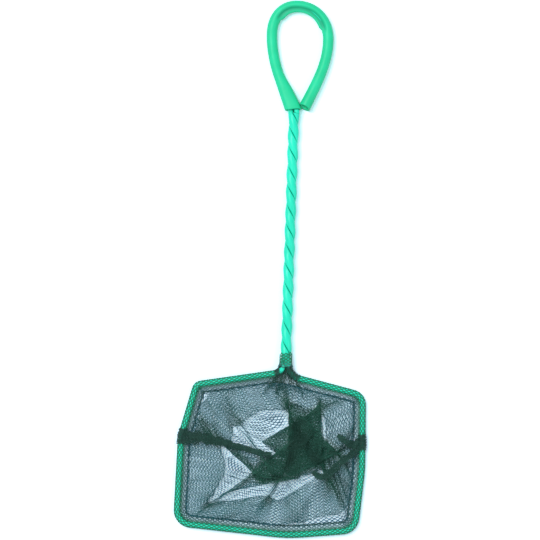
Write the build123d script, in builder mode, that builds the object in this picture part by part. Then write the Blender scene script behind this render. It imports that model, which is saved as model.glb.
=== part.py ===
"""Aquarium hand net lying on a table, mouth up, with its mesh bag folded down inside the hoop.

Millimetres. The origin is on the handle's axis, level with the middle of the hoop, on the table.
+Y runs along the handle towards the hang loop and +Z points up from the table.
"""
import os
from math import cos, pi, radians, sin

from build123d import *

# Wire
core_diameter = 2.0
coating_wall = 0.4
coating_fit = 0.05

# Hoop, as the corners of the wire's centre line
hoop_left = -54.6
hoop_right = 41.9
neck_corner = (-3.9, 43.3)
upper_left_inset = 8.2
upper_left_y = 35.8
left_seam_inset = 1.0
left_seam_y = 8.4
lower_left_y = -37.2
bottom_middle = (4.0, -41.8)
lower_right_inset = 2.8
lower_right_y = -38.0
right_bow_y = -6.0
upper_right_inset = 0.9
upper_right_y = 32.9
upper_left_radius = 3.4
seam_kink_radius = 14.0
lower_left_radius = 7.5
bottom_radius = 90.0
lower_right_radius = 7.5
right_bow_radius = 120.0
upper_right_radius = 6.2

# Twisted handle
twist_start_y = 47.5
twist_lead = 20.3
twist_half_turns = 13
strand_gap = 0.12
press_margin = 0.02
press_overlap = 0.7
pressed_width = 4.9
pressed_corner = 0.8
neck_spread_left = 5.3
neck_spread_right = 7.0

# Hang loop, as points of the wire's centre line
mouth_shift = (-1.1, 3.95)
leg_lean = 20.4
loop_left = (-12.9, 221.5)
loop_top = (0.0, 236.3)
loop_right = (16.75, 218.5)
loop_end = (5.7, 183.4)
loop_end_lean = 24.0
loop_end_lift = 0.9
wire_end_recess = 0.8

# Grip sleeve
sleeve_wall = 1.25
sleeve_fit = 0.1
flare_insert = 3.6
flare_taper = 14.0
merged_spread = 0.05
strand_tip_recess = 0.6
table_gap = 0.03

# Net
hem_wall = 0.4
hem_fit = 0.05
mesh_thickness = 0.5
mesh_gap = 0.25
net_hole = 3.4
net_bar = 1.5
net_rim = 6.5
stitch_inset = 4.6
thread_diameter = 0.5
layer_gap = 0.05

# Gathered side seams
seam_wrap_length = 7.6
seam_wrap_wall = 0.9
seam_width = 5.2
seam_height = 2.3
seam_tip_width = 2.6
seam_tip_height = 1.5
seam_roundness = 0.4
left_seam_tip = (-15.5, 3.6)
right_seam_tip = (31.5, 6.4)
band_bite = 0.15

# Folded toe of the bag: outlines of its heap, of the fold on top and of the flap beside it
toe_heap = [(-9.8, 15.6), (0.4, 26.5), (19.9, 27.2), (27.6, 16.9), (21.1, -11.2), (9.6, -14.2), (-9.0, -6.5)]
toe_fold = [(-3.0, 13.0), (9.0, 21.0), (20.0, 16.0), (16.0, -5.0), (4.0, -7.0)]
toe_flap = [(-17.5, -8.5), (-8.0, -4.0), (3.0, -12.0), (2.0, -21.5), (-13.5, -20.0)]
toe_heap_height = 2.4
toe_fold_height = 2.2
toe_flap_height = 1.6
toe_corner = 4.0
toe_top_share = 0.9

# Gathered mesh at the neck
wrap_wall = 0.45
wrap_length = 6.4
wrap_start = 0.3
gather_wall = 0.6

# Worked out from the sizes above
wire_radius = core_diameter / 2 + coating_fit + coating_wall
coating_bore = core_diameter / 2 + coating_fit
hem_bore = wire_radius + hem_fit
hem_radius = hem_bore + hem_wall
hoop_z = hem_radius
strand_radius = wire_radius + strand_gap / 2
strand_spacing = 2 * strand_radius
twist_radius = strand_radius + wire_radius
pressed_reach = twist_radius + press_margin
pressed_gap = strand_gap - 2 * press_margin
wrap_bore = twist_radius + hem_fit
twist_z = wrap_bore + wrap_wall
sleeve_bore = wire_radius + sleeve_fit
sleeve_radius = sleeve_bore + sleeve_wall
loop_z = sleeve_radius + table_gap


def unit(x, y, z=0.0):
    """Direction of length one."""
    return Vector(x, y, z).normalized()


def biarc(start, start_direction, end, end_direction):
    """Two arcs that leave start and reach end in the given directions and meet without a kink."""
    span = end - start
    both = start_direction + end_direction
    turn = 2 * (start_direction.dot(end_direction) - 1)
    reach = (span.dot(both) - (span.dot(both) ** 2 - turn * span.dot(span)) ** 0.5) / turn
    first = start + start_direction * reach
    second = end - end_direction * reach
    middle = (first + second) / 2
    TangentArc(start, middle, tangent=start_direction)
    TangentArc(middle, end, tangent=(second - first).normalized())


def strand_at(start_angle, half_turns):
    """Place and direction of a twisted strand after a number of half turns."""
    angle = start_angle + pi * half_turns
    rate = 2 * pi / twist_lead
    height = twist_start_y + half_turns * twist_lead / 2
    place = Vector(strand_radius * cos(angle), height, twist_z + strand_radius * sin(angle))
    heading = unit(-strand_radius * rate * sin(angle), 1, strand_radius * rate * cos(angle))
    return place, heading


def twist(start_angle):
    """The helix of one strand, as a pair of arcs for each quarter turn."""
    for quarter in range(round(2 * twist_half_turns)):
        biarc(*strand_at(start_angle, quarter / 2), *strand_at(start_angle, (quarter + 1) / 2))


def along(start, towards, distance):
    """The point a given distance from start on the way to another point."""
    return start + (towards - start).normalized() * distance


def at_x(start, end, x):
    """The point of the line through start and end that has this x."""
    return start + (end - start) * ((x - start.X) / (end.X - start.X))


def at_y(start, end, y):
    """The point of the line through start and end that has this y."""
    return start + (end - start) * ((y - start.Y) / (end.Y - start.Y))


def ring_sweep(path, start, heading, radius, bore):
    """Sweep a ring section along a path."""
    with BuildSketch(Plane(start, z_dir=heading)) as ring:
        Circle(radius)
        Circle(bore, mode=Mode.SUBTRACT)
    sweep(ring.sketch, path=path.line)


def round_sweep(path, start, heading, radius):
    """Sweep a round section along a path."""
    with BuildSketch(Plane(start, z_dir=heading)) as disc:
        Circle(radius)
    sweep(disc.sketch, path=path)


def trim_below_table():
    """Cut off what would lie under the table."""
    split(bisect_by=Plane.XY, keep=Keep.TOP)


# Corners of the hoop, from the neck round by the left
neck = Vector(*neck_corner, hoop_z)
upper_left = Vector(hoop_left + upper_left_inset, upper_left_y, hoop_z)
left_kink = Vector(hoop_left + left_seam_inset, left_seam_y, hoop_z)
lower_left = Vector(hoop_left, lower_left_y, hoop_z)
bottom = Vector(*bottom_middle, hoop_z)
lower_right = Vector(hoop_right - lower_right_inset, lower_right_y, hoop_z)
right_bow = Vector(hoop_right, right_bow_y, hoop_z)
upper_right = Vector(hoop_right - upper_right_inset, upper_right_y, hoop_z)
hoop_corners = [neck, upper_left, left_kink, lower_left, bottom, lower_right, right_bow, upper_right]
hoop_radii = [
    upper_left_radius,
    seam_kink_radius,
    lower_left_radius,
    bottom_radius,
    lower_right_radius,
    right_bow_radius,
    upper_right_radius,
]

hoop_start = at_x(neck, upper_left, -neck_spread_left)
hoop_end = at_x(neck, upper_right, neck_spread_right)
start_heading = (upper_left - hoop_start).normalized()
end_heading = (hoop_end - upper_right).normalized()

# Where the hem stops for the two side seams
left_above = along(left_kink, upper_left, seam_wrap_length / 2)
left_below = along(left_kink, lower_left, seam_wrap_length / 2)
right_seam = at_y(upper_right, right_bow, left_seam_y)
right_above = along(right_seam, upper_right, seam_wrap_length / 2)
right_below = along(right_seam, right_bow, seam_wrap_length / 2)

# The strand from the right of the hoop ends on the left and goes on as the loop
long_foot, long_foot_heading = strand_at(0, 0)
long_head, long_head_heading = strand_at(0, twist_half_turns)
short_foot, short_foot_heading = strand_at(pi, 0)
short_head, short_head_heading = strand_at(pi, twist_half_turns)

leg = unit(-sin(radians(leg_lean)), cos(radians(leg_lean)))
across = unit(cos(radians(leg_lean)), sin(radians(leg_lean)))
mouth = Vector(long_head.X + mouth_shift[0], long_head.Y + mouth_shift[1], loop_z)
short_mouth = mouth + across * strand_spacing
short_tip = short_mouth + leg * (flare_insert - strand_tip_recess)
taper_start = mouth + leg * flare_insert
sleeve_start = taper_start + leg * flare_taper
end_leg = unit(-sin(radians(loop_end_lean)), -cos(radians(loop_end_lean)))
sleeve_end = Vector(*loop_end, loop_z + loop_end_lift)
wire_end = sleeve_end - end_leg * wire_end_recess

# Centre lines of the wire, run by run
with BuildLine() as hoop_path:
    FilletPolyline(hoop_start, *hoop_corners[1:], hoop_end, radius=hoop_radii)

with BuildLine() as short_strand_path:
    biarc(hoop_start, -start_heading, short_foot, short_foot_heading)
    twist(pi)
    biarc(short_head, short_head_heading, short_mouth, leg)
    Line(short_mouth, short_tip)

with BuildLine() as long_strand_path:
    biarc(hoop_end, end_heading, long_foot, long_foot_heading)
    twist(0)
    biarc(long_head, long_head_heading, mouth, leg)


def loop_run(end_point):
    """The upper part of the loop, from the straight left leg round to a point of the right leg."""
    left = Vector(*loop_left, loop_z)
    top = Vector(*loop_top, loop_z)
    right = Vector(*loop_right, loop_z)
    biarc(sleeve_start, leg, left, unit(0, 1))
    biarc(left, unit(0, 1), top, unit(1, 0))
    biarc(top, unit(1, 0), right, unit(0, -1))
    biarc(right, unit(0, -1), end_point, end_leg)


with BuildLine() as loop_path:
    Line(mouth, sleeve_start)
    loop_run(wire_end)

with BuildLine() as sleeve_path:
    loop_run(sleeve_end)

# Wire: one steel core, and its coating in runs that meet end to end
with BuildPart() as wire_core:
    whole_wire = [
        *short_strand_path.edges(),
        *hoop_path.edges(),
        *long_strand_path.edges(),
        *loop_path.edges(),
    ]
    round_sweep(whole_wire, short_tip, leg, core_diameter / 2)
wire_core.part.label = "wire_core"

with BuildPart() as hoop_coating:
    ring_sweep(hoop_path, hoop_start, start_heading, wire_radius, coating_bore)
hoop_coating.part.label = "hoop_coating"


def pressed_twist(side):
    """One strand of the twist, pressed flat against the other, on the side of +X (1) or -X (-1) at its foot."""
    run = twist_lead * twist_half_turns / 2 + 2 * press_overlap
    turns = run / twist_lead
    lead_in = 360 * press_overlap / twist_lead
    foot = Plane((0, twist_start_y - press_overlap, twist_z), x_dir=(side, 0, 0), z_dir=(0, 1, 0))
    with BuildSketch(foot.rotated((0, 0, lead_in))) as section:
        Ellipse(pressed_reach, pressed_width / 2)
        with Locations((-pressed_reach, 0)):
            Rectangle(2 * (pressed_reach + pressed_gap / 2), pressed_width, mode=Mode.SUBTRACT)
        fillet(section.vertices(), pressed_corner)
    return Solid.extrude_linear_with_rotation(
        section.sketch.face(), center=foot.origin, normal=Vector(0, run, 0), angle=-360 * turns
    )


def strand_coating(path, start, heading, head, head_heading, side):
    """A strand's coating: round up to the foot of the twist and beyond its head, and pressed flat between."""
    edges = path.edges()
    round_sweep(edges[:2], start, heading, wire_radius)
    round_sweep(edges[2 + 4 * twist_half_turns :], head, head_heading, wire_radius)
    add(pressed_twist(side))
    with BuildSketch(Plane(start, z_dir=heading)) as bore:
        Circle(coating_bore)
    sweep(bore.sketch, path=path.line, mode=Mode.SUBTRACT)


with BuildPart() as short_strand_coating:
    strand_coating(short_strand_path, hoop_start, -start_heading, short_head, short_head_heading, -1)
short_strand_coating.part.label = "short_strand_coating"

with BuildPart() as long_strand_coating:
    strand_coating(long_strand_path, hoop_end, end_heading, long_head, long_head_heading, 1)
long_strand_coating.part.label = "long_strand_coating"

with BuildPart() as loop_coating:
    ring_sweep(loop_path, mouth, leg, wire_radius, coating_bore)
loop_coating.part.label = "loop_coating"


def flare_section(center, spread, radius):
    """A slot round two strands, or nearly a circle where the spread is small."""
    with BuildSketch(Plane(center + across * (spread / 2), x_dir=across, z_dir=leg)) as section:
        SlotCenterToCenter(spread, 2 * radius)
    return section.sketch


def sleeve_body(radius, mode):
    """The flared end, its taper and the tube round the loop, all to one radius."""
    open_end = flare_section(mouth, strand_spacing, radius)
    neck_end = flare_section(taper_start, strand_spacing, radius)
    closed_end = flare_section(sleeve_start, merged_spread, radius)
    loft([open_end, neck_end], ruled=True, mode=mode)
    loft([neck_end, closed_end], ruled=True, mode=mode)
    with BuildSketch(Plane(sleeve_start, z_dir=leg)) as disc:
        Circle(radius)
    sweep(disc.sketch, path=sleeve_path.line, mode=mode)


# Soft tube over the loop, stretched over both strands at its lower left end
with BuildPart() as grip_sleeve:
    sleeve_body(sleeve_radius, Mode.ADD)
    sleeve_body(sleeve_bore, Mode.SUBTRACT)
grip_sleeve.part.label = "grip_sleeve"

# Hem: the edge of the mesh as a casing round the hoop, in three stretches
with BuildPart() as hem_upper_left:
    with BuildLine() as hem_path:
        FilletPolyline(hoop_start, upper_left, left_above, radius=[upper_left_radius])
    ring_sweep(hem_path, hoop_start, start_heading, hem_radius, hem_bore)
hem_upper_left.part.label = "hem_upper_left"

with BuildPart() as hem_lower:
    with BuildLine() as hem_path:
        FilletPolyline(
            left_below,
            lower_left,
            bottom,
            lower_right,
            right_bow,
            right_below,
            radius=[lower_left_radius, bottom_radius, lower_right_radius, right_bow_radius],
        )
    ring_sweep(hem_path, left_below, (lower_left - left_below).normalized(), hem_radius, hem_bore)
hem_lower.part.label = "hem_lower"

with BuildPart() as hem_upper_right:
    with BuildLine() as hem_path:
        FilletPolyline(right_above, upper_right, hoop_end, radius=[upper_right_radius])
    ring_sweep(hem_path, right_above, (upper_right - right_above).normalized(), hem_radius, hem_bore)
hem_upper_right.part.label = "hem_upper_right"


def inset_corners(distance, height):
    """The hoop's corners with every side moved inwards by a distance, at a height."""
    count = len(hoop_corners)
    sides = []
    for index, corner in enumerate(hoop_corners):
        heading = (hoop_corners[(index + 1) % count] - corner).normalized()
        inward = Vector(-heading.Y, heading.X)
        sides.append((corner + inward * distance, heading))
    moved = []
    for index in range(count):
        before, before_heading = sides[index - 1]
        after, after_heading = sides[index]
        gap = after - before
        cross = before_heading.X * after_heading.Y - before_heading.Y * after_heading.X
        step = (gap.X * after_heading.Y - gap.Y * after_heading.X) / cross
        place = before + before_heading * step
        moved.append(Vector(place.X, place.Y, height))
    return moved


def side_clearance(x, y):
    """How far a point lies inside the nearest side of the hoop's centre line."""
    count = len(hoop_corners)
    least = None
    for index, corner in enumerate(hoop_corners):
        heading = (hoop_corners[(index + 1) % count] - corner).normalized()
        room = heading.X * (y - corner.Y) - heading.Y * (x - corner.X)
        least = room if least is None else min(least, room)
    return least


def reach_beside(radius):
    """How far a round section of the hoop reaches sideways at the top of the mesh."""
    return (radius**2 - (hoop_z - mesh_thickness) ** 2) ** 0.5


panel_inset = reach_beside(hem_radius) + mesh_gap
notch_inset = reach_beside(hem_bore + seam_wrap_wall) + mesh_gap
net_step = (net_hole + net_bar) / cos(radians(45))
seam_line = left_seam_y


def net_holes(low_y, high_y):
    """Centres of the diamond holes of one panel, staggered row by row about a crossing at the origin."""
    places = []
    columns = round((hoop_right - hoop_left) / net_step)
    rows = round(2 * (neck.Y - bottom.Y) / net_step)
    for row in range(-rows, rows + 1):
        y = row * net_step / 2
        for column in range(-columns, columns + 1):
            x = (column + (row + 1) % 2 / 2) * net_step
            inside = low_y + net_rim <= y <= high_y - net_rim
            if inside and side_clearance(x, y) >= net_rim:
                places.append((x, y))
    return places


# The seam leans with the hoop, so the notch for it is deeper by this lean
kink_slack = abs(left_above.X - left_kink.X)


def net_panel(side, low_y, high_y):
    """Half of the bag's mesh, flat on the table, above (1) or below (-1) the seam line."""
    corners = inset_corners(panel_inset, 0)
    rounding = [max(radius - panel_inset, 0) for radius in hoop_radii]
    notch_height = seam_wrap_length + 2 * mesh_gap
    notch_depth = 2 * (notch_inset + kink_slack)
    with BuildSketch() as face:
        with BuildLine():
            FilletPolyline(*corners, radius=[0, *rounding], close=True)
        make_face()
        keep = Keep.BOTTOM if side > 0 else Keep.TOP
        split(bisect_by=Plane.XZ.offset(-seam_line - side * mesh_gap / 2), keep=keep)
        with Locations((left_kink.X, seam_line), (right_seam.X, seam_line)):
            Rectangle(notch_depth, notch_height, mode=Mode.SUBTRACT)
        with Locations(*net_holes(low_y, high_y)):
            Rectangle(net_hole, net_hole, rotation=45, mode=Mode.SUBTRACT)
    extrude(face.sketch, amount=mesh_thickness)


with BuildPart() as net_upper_panel:
    net_panel(1, seam_line, neck.Y)
net_upper_panel.part.label = "net_upper_panel"

with BuildPart() as net_lower_panel:
    net_panel(-1, bottom.Y, seam_line)
net_lower_panel.part.label = "net_lower_panel"

thread_radius = thread_diameter / 2
thread_z = mesh_thickness + layer_gap + thread_radius
seam_clear = seam_width / 2 + mesh_gap + thread_radius
stitch_corners = inset_corners(stitch_inset, thread_z)
stitch_neck, stitch_upper_left, stitch_kink, stitch_lower_left = stitch_corners[:4]
stitch_bottom, stitch_lower_right, stitch_bow, stitch_upper_right = stitch_corners[4:]
stitch_radius = thread_diameter * 2


def thread_run(points):
    """A sewing thread laid through points, with small rounded corners."""
    with BuildLine() as run:
        FilletPolyline(*points, radius=stitch_radius)
    round_sweep(run.line, points[0], (points[1] - points[0]).normalized(), thread_radius)


# Row of stitches that closes the hem, above and below the side seams
with BuildPart() as hem_thread_upper:
    thread_run(
        [
            at_y(stitch_upper_left, stitch_kink, seam_line + seam_clear),
            stitch_upper_left,
            stitch_neck,
            stitch_upper_right,
            at_y(stitch_upper_right, stitch_bow, seam_line + seam_clear),
        ]
    )
hem_thread_upper.part.label = "hem_thread_upper"

with BuildPart() as hem_thread_lower:
    thread_run(
        [
            at_y(stitch_kink, stitch_lower_left, seam_line - seam_clear),
            stitch_lower_left,
            stitch_bottom,
            stitch_lower_right,
            stitch_bow,
            at_y(stitch_upper_right, stitch_bow, seam_line - seam_clear),
        ]
    )
hem_thread_lower.part.label = "hem_thread_lower"


def seam_section(place, width, height):
    """A rounded section across a gathered seam that lies on the mesh."""
    lift = mesh_thickness + mesh_gap + height / 2
    plane = Plane((place[0], place[1], lift), x_dir=(0, 1, 0), z_dir=(1, 0, 0))
    with BuildSketch(plane) as section:
        RectangleRounded(width, height, height * seam_roundness)
    return section.sketch


def side_seam(wrap_path, start, heading, root, tip):
    """Mesh bunched round the hoop, with a gathered band that narrows towards the toe."""
    ring_sweep(wrap_path, start, heading, hem_bore + seam_wrap_wall, hem_bore)
    trim_below_table()
    wide_end = seam_section(root, seam_width, seam_height)
    loft([wide_end, seam_section(tip, seam_tip_width, seam_tip_height)], ruled=True)


band_root = hem_bore + seam_wrap_wall - band_bite

with BuildLine() as left_wrap_path:
    FilletPolyline(left_above, left_kink, left_below, radius=[seam_kink_radius])

with BuildLine() as right_wrap_path:
    Line(right_above, right_below)

with BuildPart() as left_side_seam:
    root = (left_kink.X + band_root, seam_line)
    side_seam(left_wrap_path, left_above, (left_kink - left_above).normalized(), root, left_seam_tip)
left_side_seam.part.label = "left_side_seam"

with BuildPart() as right_side_seam:
    root = (right_seam.X - band_root, seam_line)
    side_seam(right_wrap_path, right_above, (right_below - right_above).normalized(), root, right_seam_tip)
right_side_seam.part.label = "right_side_seam"

toe_base = mesh_thickness + mesh_gap


def toe_face(outline, share, height):
    """A toe outline drawn in towards its middle, at a height."""
    middle = sum((Vector(*corner) for corner in outline), Vector()) / len(outline)
    with BuildSketch(Plane.XY.offset(height)) as face:
        with BuildLine():
            drawn_in = [middle + (Vector(*corner) - middle) * share for corner in outline]
            FilletPolyline(*drawn_in, radius=toe_corner * share, close=True)
        make_face()
    return face.sketch


def toe_layer(outline, base, height):
    """One folded layer of the toe, with sloping sides."""
    loft([toe_face(outline, 1, base), toe_face(outline, toe_top_share, base + height)], ruled=True)


# Closed end of the bag, folded down in layers
with BuildPart() as bag_toe:
    toe_layer(toe_heap, toe_base, toe_heap_height)
    toe_layer(toe_flap, toe_base, toe_flap_height)
    toe_layer(toe_fold, toe_base + toe_heap_height, toe_fold_height)
bag_toe.part.label = "bag_toe"

# Mesh wrapped round the foot of the twist, and gathered on the wire left and right of it
with BuildPart() as neck_wrap:
    wrap_plane = Plane((0, twist_start_y + wrap_start, twist_z), x_dir=(1, 0, 0), z_dir=(0, 1, 0))
    with BuildSketch(wrap_plane):
        Circle(wrap_bore + wrap_wall)
        Circle(wrap_bore, mode=Mode.SUBTRACT)
    extrude(amount=wrap_length)
neck_wrap.part.label = "neck_wrap"


def neck_gather(path, start, heading):
    """Mesh bunched on the first arc of a strand, where it leaves the hoop."""
    with BuildSketch(Plane(start, z_dir=heading)) as ring:
        Circle(hem_bore + gather_wall)
        Circle(hem_bore, mode=Mode.SUBTRACT)
    sweep(ring.sketch, path=path.edges()[0])
    trim_below_table()


with BuildPart() as left_neck_gather:
    neck_gather(short_strand_path, hoop_start, -start_heading)
left_neck_gather.part.label = "left_neck_gather"

with BuildPart() as right_neck_gather:
    neck_gather(long_strand_path, hoop_end, end_heading)
right_neck_gather.part.label = "right_neck_gather"

pieces = [
    wire_core,
    hoop_coating,
    short_strand_coating,
    long_strand_coating,
    loop_coating,
    grip_sleeve,
    hem_upper_left,
    hem_upper_right,
    hem_lower,
    net_upper_panel,
    net_lower_panel,
    hem_thread_upper,
    hem_thread_lower,
    left_side_seam,
    right_side_seam,
    bag_toe,
    neck_wrap,
    left_neck_gather,
    right_neck_gather,
]

os.makedirs("parts", exist_ok=True)
for piece in pieces:
    export_step(piece.part, f"parts/{piece.part.label}.step")
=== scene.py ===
"""Aquarium hand net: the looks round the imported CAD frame. Shapes are worked out in millimetres."""

import bpy
import numpy as np
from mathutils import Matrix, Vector


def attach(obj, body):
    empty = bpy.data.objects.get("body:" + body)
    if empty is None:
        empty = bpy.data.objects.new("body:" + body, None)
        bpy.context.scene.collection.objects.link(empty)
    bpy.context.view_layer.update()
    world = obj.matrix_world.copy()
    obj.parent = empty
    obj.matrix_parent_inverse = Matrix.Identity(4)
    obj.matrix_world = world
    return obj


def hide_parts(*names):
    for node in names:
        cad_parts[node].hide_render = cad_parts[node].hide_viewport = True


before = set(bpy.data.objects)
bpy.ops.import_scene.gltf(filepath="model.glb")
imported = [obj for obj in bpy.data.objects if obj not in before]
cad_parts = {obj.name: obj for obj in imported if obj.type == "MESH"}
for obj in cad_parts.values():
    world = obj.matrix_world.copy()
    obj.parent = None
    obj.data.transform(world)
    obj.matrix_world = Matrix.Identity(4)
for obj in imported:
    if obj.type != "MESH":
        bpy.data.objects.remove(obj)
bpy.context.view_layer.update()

MM = 0.001
TURN = 2 * np.pi
BODY = "root"
UP = np.array([0.0, 0.0, 1.0])

# Hoop: corners of the wire's centre line from the neck round by the left, and their bend radii
HOOP_CORNERS = np.array([
    (-3.9, 43.3), (-46.4, 35.8), (-53.6, 8.4), (-54.6, -37.2),
    (4.0, -41.8), (39.1, -38.0), (41.9, -6.0), (41.0, 32.9),
])
HOOP_RADII = np.array([3.0, 3.4, 14.0, 7.5, 90.0, 7.5, 120.0, 6.2])
HOOP_Z = 1.9
WIRE_RADIUS = 1.45
ARC_POINTS, LINE_POINTS = 40, 2400
NECK_LEFT_X, NECK_RIGHT_X = -5.3, 7.0
SEAM_Y = 8.4
SEAM_HALF = 3.8

# Bag: columns round it, rows down it, its cut depth and the depth it is laid at
AROUND, ROWS = 176, 49
BAG_DEPTH, LAID_DEPTH = 112.0, 106.0
BAG_SEED = 3
SETTLE_STEPS, QUICK_STEPS = 60, 10
RIM_INSET, RIM_Z = 4.0, 0.8
# Share of the depth where the bag is fullest, and its width at the toe against the rim's
FULLEST_AT, TOE_SHARE = 0.35, 0.9
FLOOR_GAP, PILE_HEIGHT = 0.3, 4.6
# Mesh cells, the threads' radius and how much wider they spread below a crowd value
MESH_PITCH, MESH_RISE = 1.5, 1.75
HEM_PITCH, HEM_RISE = 1.35, 1.6
YARN_RADIUS, YARN_SPREAD, SPREAD_BELOW = 0.125, 0.15, 0.28
YARN_TOUCH = 0.28
GATHER_RADIUS = 0.17
# Lowest points of the net's mesh and middles of other threads
NET_LOW, THREAD_LOW = 0.05, 0.2
# Layers of cloth are counted over squares of the table
LAYER_CELL, LAYER_HALF = 1.5, 48
MOST_LAYERS = 24


def unit(vectors):
    """Vectors divided by their lengths."""
    return vectors / (np.linalg.norm(vectors, axis=-1, keepdims=True) + 1e-12)


def left_of(heading):
    """Flat directions turned a quarter to the left."""
    return np.stack([-heading[..., 1], heading[..., 0]], -1)


HOOP_HEADING = unit(np.roll(HOOP_CORNERS, -1, 0) - HOOP_CORNERS)
HOOP_INWARD = left_of(HOOP_HEADING)


def run_along(line):
    """Length along a line of points to each of them."""
    return np.r_[0, np.cumsum(np.linalg.norm(np.diff(line, axis=0), axis=1))]


def read_line(line, run, at):
    """Places on a line of points at lengths along it, straight between points."""
    return np.stack([np.interp(at, run, axis) for axis in line.T], -1)


def evenly(line, count, endpoint=True):
    """Places spaced evenly along a line of points, and the length along it to each."""
    run = run_along(line)
    spaced = np.linspace(0, run[-1], count, endpoint=endpoint)
    return read_line(line, run, spaced), spaced


def raised(flat, height):
    """Flat places with a height added to each."""
    height = np.broadcast_to(height, flat.shape[:-1])
    return np.concatenate([flat, height[..., None]], -1)


def hoop_line(inset):
    """The hoop's line drawn inwards by a distance: straight sides joined by arcs, each arc of the bend
    radius less the inset. Returns places and inward normals, evenly spaced from the left seam over the
    neck, the step between them, and the index of the right seam."""
    heading = HOOP_HEADING
    side = HOOP_CORNERS + HOOP_INWARD * inset
    before, before_heading = np.roll(side, 1, 0), np.roll(heading, 1, 0)
    gap = side - before
    cross = before_heading[:, 0] * heading[:, 1] - before_heading[:, 1] * heading[:, 0]
    step = (gap[:, 0] * heading[:, 1] - gap[:, 1] * heading[:, 0]) / cross
    corner = before + before_heading * step[:, None]
    radius = np.maximum(HOOP_RADII - inset, 0.6)
    bend = np.arcsin(np.clip(cross, -1, 1))
    bend = np.where((before_heading * heading).sum(1) < 0, np.pi - bend, bend)
    start = corner - before_heading * (radius * np.tan(bend / 2))[:, None]
    angle = bend[:, None] * np.linspace(0, 1, ARC_POINTS)
    along = radius[:, None] * np.sin(angle)
    across = radius[:, None] * (1 - np.cos(angle))
    points = start[:, None] + along[..., None] * before_heading[:, None]
    points = points + across[..., None] * left_of(before_heading)[:, None]
    points = points.reshape(-1, 2)
    line, spaced = evenly(np.concatenate([points, points[:1]]), LINE_POINTS, endpoint=False)
    line = line[::-1]
    left = np.argmin(np.abs(line[:, 1] - SEAM_Y) + 100 * (line[:, 0] > 0))
    line = np.roll(line, -left, 0)
    tangent = unit(np.roll(line, -1, 0) - np.roll(line, 1, 0))
    inside = -left_of(tangent)
    right = np.argmin(np.abs(line[:, 1] - SEAM_Y) + 100 * (line[:, 0] < 0))
    return line, inside, spaced[1], right


def sample(table, index):
    """Rows of a table read at fractional indices, in a straight line between rows and wrapping round."""
    low = np.floor(index).astype(int)
    part = (index - low)[..., None]
    count = len(table)
    return table[low % count] * (1 - part) + table[(low + 1) % count] * part


def rim_points():
    """The bag's rim: half of its columns spread over the upper run of the hoop, half over the lower."""
    line, _, _, right = hoop_line(RIM_INSET)
    half = AROUND // 2
    upper = np.linspace(0, right, half, endpoint=False)
    lower = np.linspace(right, len(line), half, endpoint=False)
    return sample(line, np.r_[upper, lower])


# Toe of the bag: its closed edge lies folded to and fro between these places
TOE_FOLDS = np.array([
    (-10.0, 0.0), (-17.0, -10.0), (0.0, -14.0), (-10.0, -4.0), (12.0, 6.0),
    (2.0, 24.0), (20.0, 25.0), (4.0, 16.0), (20.0, 12.0), (20.0, -4.0),
])
TOE_STACK = 0.7
# How far the first fold lies inside the rim, at eighths of the way round from the left seam over the neck
FOLD_REACH = np.array([18.0, 24.0, 15.0, 17.0, 18.0, 28.0, 20.0, 14.0])
FOLD_WAVE = 1.2
REACH_LIMITS = 8.0, 32.0


def folded_bag(rng, rim):
    """The bag as it is put down: each column runs in from the rim, back out towards the hoop, in past the
    toe and back to it. The runs add up to a little less than the depth, and heights change evenly along
    each."""
    half = AROUND // 2
    share = np.arange(half + 1) / half
    run = run_along(TOE_FOLDS)
    toe = read_line(TOE_FOLDS, run, share * run[-1])
    pile = 0.8 + TOE_STACK * np.interp(share * run[-1], run, np.arange(len(TOE_FOLDS)))
    toe, pile = np.r_[toe, toe[-2:0:-1]], np.r_[pile, pile[-2:0:-1]]
    span = toe - rim
    distance = np.linalg.norm(span, axis=1)
    angle = np.arange(AROUND) * TURN / AROUND
    wave = 0
    for k in (2, 3, 5, 7, 11):
        wave = wave + rng.normal(0, FOLD_WAVE) * np.sin(k * angle + rng.uniform(0, TURN))
    eighth = np.arange(AROUND) / AROUND * 8
    reach = np.interp(eighth, np.arange(9), np.r_[FOLD_REACH, FOLD_REACH[:1]])
    first = np.clip(reach + wave, *REACH_LIMITS)
    back = np.clip((LAID_DEPTH - distance) / 2, 2.0, first + 0.2)
    past = np.maximum((LAID_DEPTH - distance) / 2 - back, 0)
    turns = np.stack([0 * first, first, first - back, distance + past, distance])
    heights = np.stack([RIM_Z + 0 * first, 4 + 0 * first, 2.5 + 0 * first, 2 + 0.5 * pile, pile])
    starts = np.r_[np.zeros((1, AROUND)), np.cumsum(np.abs(np.diff(turns, axis=0)), 0)]
    lengths = np.diff(starts, axis=0) + 1e-6
    depth = np.linspace(0, LAID_DEPTH, ROWS + 1)[:, None, None]
    done = np.clip((depth - starts[:-1]) / lengths, 0, 1)
    inward = (done * np.diff(turns, axis=0)).sum(1)
    cloth = np.zeros((ROWS + 1, AROUND, 3))
    cloth[..., :2] = rim + unit(span) * inward[..., None]
    cloth[..., 2] = RIM_Z + (done * np.diff(heights, axis=0)).sum(1)
    cloth[1:-1] += rng.normal(0, 0.1, cloth[1:-1].shape)
    return cloth


def girth(share):
    """Width of the bag at a share of its depth, against the rim's: a little full, then drawn in to the
    toe, with straight changes between."""
    return np.interp(share, [0, FULLEST_AT, 0.65, 1], [1, 1.05, 1.0, TOE_SHARE])


def pull(a, b, rest, stiffness):
    """Two sets of points moved alike along the line between them, towards their rest distance."""
    gap = b - a
    length = np.linalg.norm(gap, axis=-1, keepdims=True) + 1e-9
    move = gap * ((length - rest) / length * stiffness * 0.5)
    return a + move, b - move


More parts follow.
